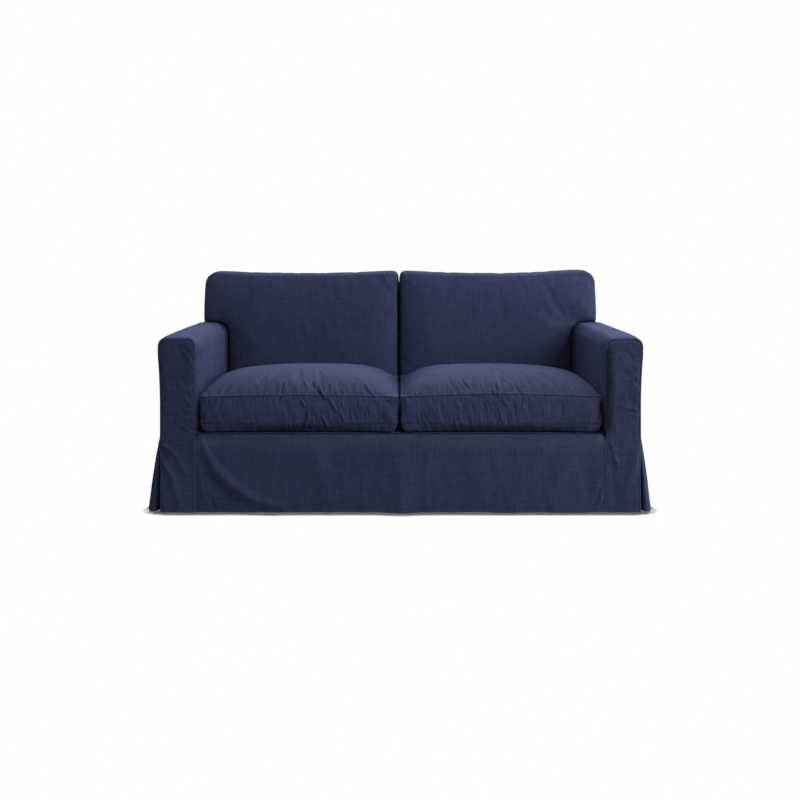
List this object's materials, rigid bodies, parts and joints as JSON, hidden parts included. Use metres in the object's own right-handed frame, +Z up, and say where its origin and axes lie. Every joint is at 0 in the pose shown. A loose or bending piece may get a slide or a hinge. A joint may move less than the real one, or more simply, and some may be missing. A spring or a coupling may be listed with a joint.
{
  "type": "sofa slipcover",
  "caption": "Fitted linen slipcover for a square-armed two-seat sofa, with a floor-length skirt, corner kick pleats and covered seat and L-shaped back cushions.",
  "frame": {"origin": "under the middle of the cover, on the floor that the hem reaches", "axes": "+Z up, the front faces -Y, +X to the right as seen from the front"},
  "size_m": [1.894, 0.997, 0.8797],
  "materials": {
    "body_linen": "matt washed linen, dark navy, plain weave with slubs",
    "cushion_linen": "matt washed linen, dark navy, plain weave with slubs"
  },
  "bodies": {
    "root": {"arm_front_left": "body_linen", "arm_front_right": "body_linen", "arm_inside_left": "body_linen", "arm_inside_right": "body_linen", "arm_outside_left": "body_linen", "arm_outside_right": "body_linen", "front_rail": "body_linen", "seat_deck": "body_linen", "inside_back": "body_linen", "back_border": "body_linen", "outside_back": "body_linen", "seat_cushion_left": "cushion_linen", "seat_cushion_right": "cushion_linen", "back_cushion_left": "cushion_linen", "back_cushion_right": "cushion_linen"}
  },
  "joints": []
}
